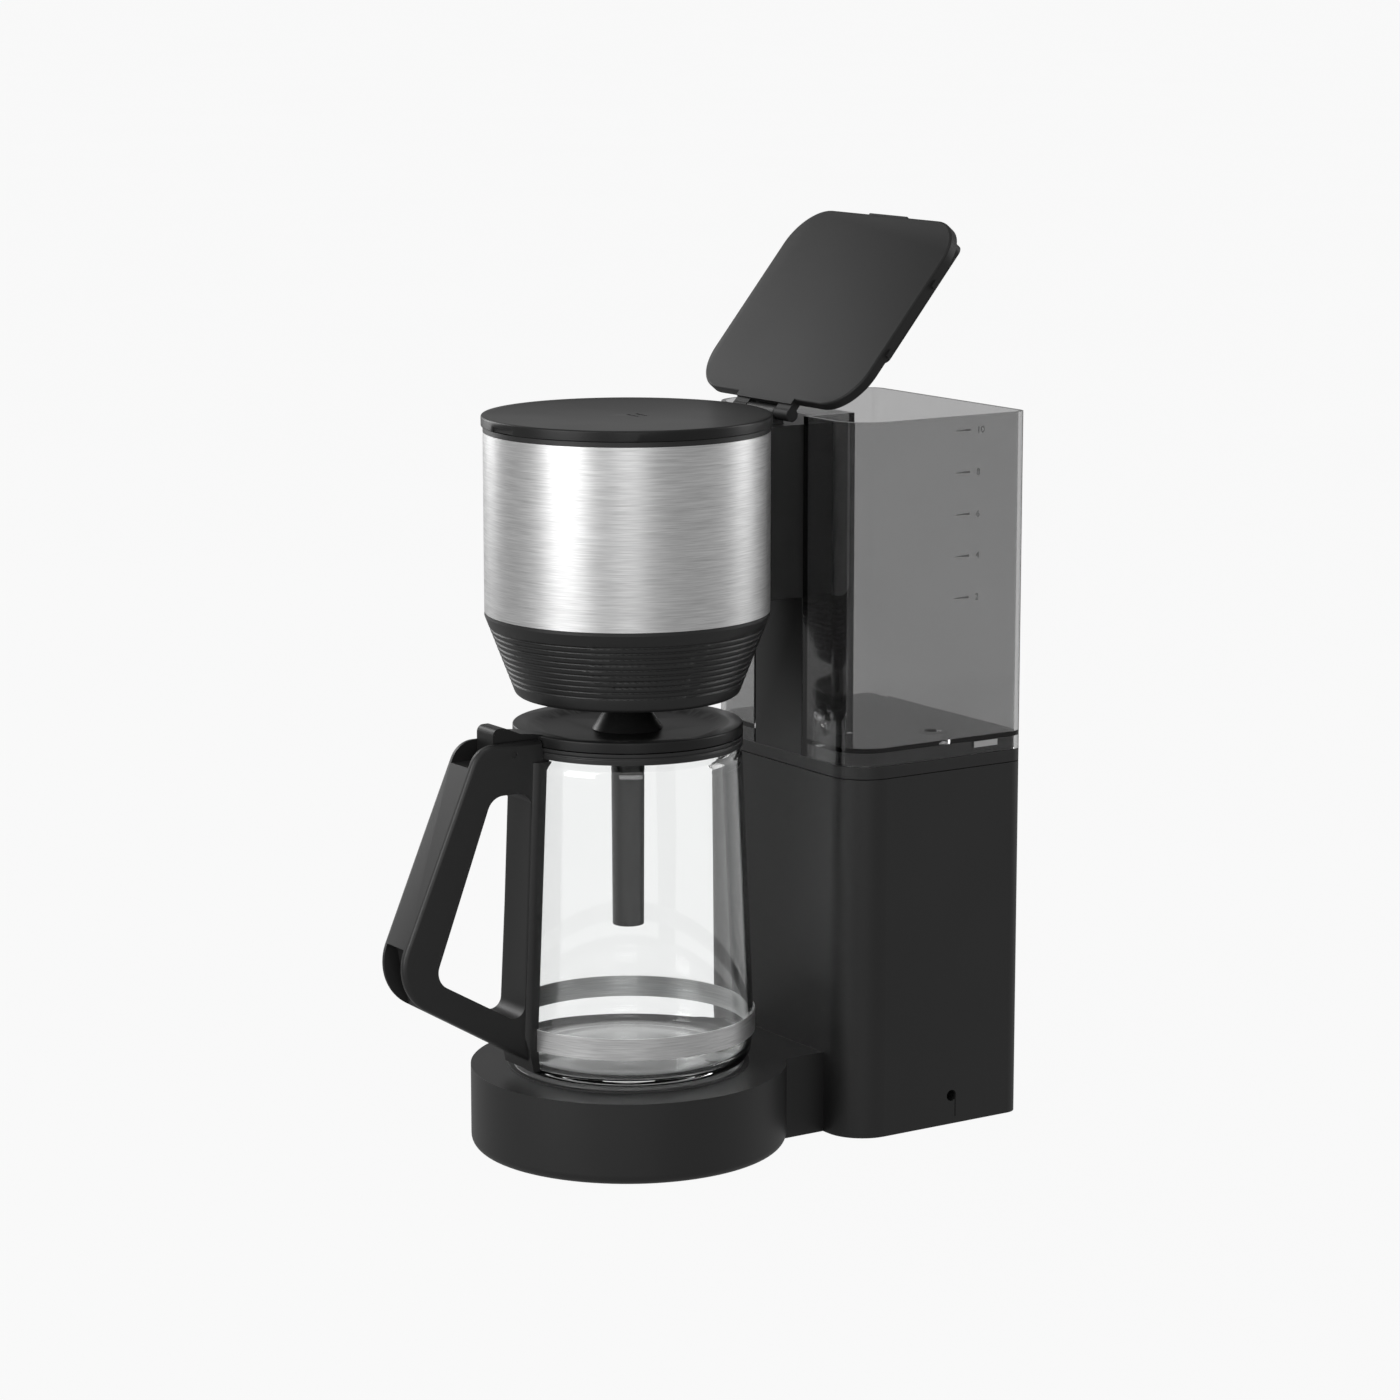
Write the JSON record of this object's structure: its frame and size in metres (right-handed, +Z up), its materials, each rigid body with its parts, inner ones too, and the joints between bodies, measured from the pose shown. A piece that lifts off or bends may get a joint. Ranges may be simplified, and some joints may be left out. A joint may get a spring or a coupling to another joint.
{
  "type": "drip coffee maker",
  "caption": "Drip coffee maker with a glass jug on a hotplate, a round brew basket on a column and a smoky clear water tank with its lid open.",
  "frame": {"origin": "middle of the footprint at the surface it stands on", "axes": "+Z up, +Y towards the water tower, the jug's handle points to -Y, the power button is on the -X side"},
  "size_m": [0.1578, 0.3301, 0.4564],
  "materials": {
    "black_plastic": "satin",
    "smoky_plastic": "polished",
    "brushed_steel": "brushed",
    "dark_coated_steel": "satin",
    "clear_glass": "polished",
    "rubber": "matte",
    "silicone": "matte",
    "aluminium": "as cast",
    "plated_steel": "plain",
    "white_plastic": "satin"
  },
  "bodies": {
    "machine": {"base_housing": "black_plastic", "bottom_plate": "black_plastic", "deck_cover": "black_plastic", "column": "black_plastic", "column_cover": "black_plastic", "basket_body": "black_plastic", "button_ring": "black_plastic", "outlet_socket": "black_plastic", "switch_module": "black_plastic", "water_tank": "smoky_plastic", "basket_sleeve": "brushed_steel", "hotplate": "dark_coated_steel", "feet": "rubber", "hotplate_seal": "rubber", "outlet_seal": "rubber", "cold_hose": "silicone", "hot_hose": "silicone", "heater_casting": "aluminium", "heater_tube": "aluminium", "base_screws": "plated_steel", "bracket_screws": "plated_steel", "heater_bracket": "plated_steel", "heating_element": "plated_steel", "thermostat": "plated_steel", "hinge_pin": "plated_steel", "thermal_fuse": "white_plastic", "check_valve": "white_plastic", "riser_tube": "white_plastic", "terminal_block": "white_plastic", "cord_clamp": "white_plastic", "tank_clips": "white_plastic", "switch_wiring": "white_plastic", "heater_wiring": "white_plastic"},
    "tank_lid": {"tank_lid": "black_plastic"},
    "filter_insert": {"filter_insert": "black_plastic", "drip_seal": "rubber"},
    "drip_stop": {"drip_stop": "white_plastic", "drip_spring": "plated_steel"},
    "basket_lid": {"basket_lid": "black_plastic", "spray_head": "black_plastic"},
    "jug": {"jug_glass": "clear_glass", "jug_band": "brushed_steel", "jug_collar": "black_plastic", "jug_handle": "black_plastic", "jug_hinge_pin": "plated_steel"},
    "jug_lid": {"jug_lid": "black_plastic", "brew_tube": "black_plastic"},
    "power_button": {"power_button": "black_plastic"}
  },
  "joints": [
    {"name": "tank_lid_hinge", "type": "hinge", "parent": "machine", "child": "tank_lid", "pos_m": [0, 0.05013, 0.3627], "axis": [1, 0, 0], "range_deg": [-50.2, 40]},
    {"name": "insert_lift", "type": "slide", "parent": "machine", "child": "filter_insert", "axis": [0, 0, 1], "range_m": [0, 0.14]},
    {"name": "basket_lid_lift", "type": "slide", "parent": "filter_insert", "child": "basket_lid", "axis": [0, 0, 1], "range_m": [0, 0.06]},
    {"name": "drip_stop_rise", "type": "slide", "parent": "filter_insert", "child": "drip_stop", "axis": [0, 0, 1], "range_m": [0, 0.0045], "stiffness_N_per_m": 60, "deforming": ["drip_spring"]},
    {"name": "jug_slide", "type": "slide", "parent": "machine", "child": "jug", "axis": [0, -1, 0], "range_m": [0, 0.18]},
    {"name": "jug_lid_hinge", "type": "hinge", "parent": "jug", "child": "jug_lid", "pos_m": [0, -0.10287, 0.2073], "axis": [1, 0, 0], "range_deg": [0, 3.3]},
    {"name": "power_button_press", "type": "slide", "parent": "machine", "child": "power_button", "axis": [1, 0, 0], "range_m": [0, 0.002], "stiffness_N_per_m": 300}
  ],
  "couplings": [
    {"joint": "drip_stop_rise", "follows": "jug_lid_hinge", "m_per_rad": 0.075}
  ]
}
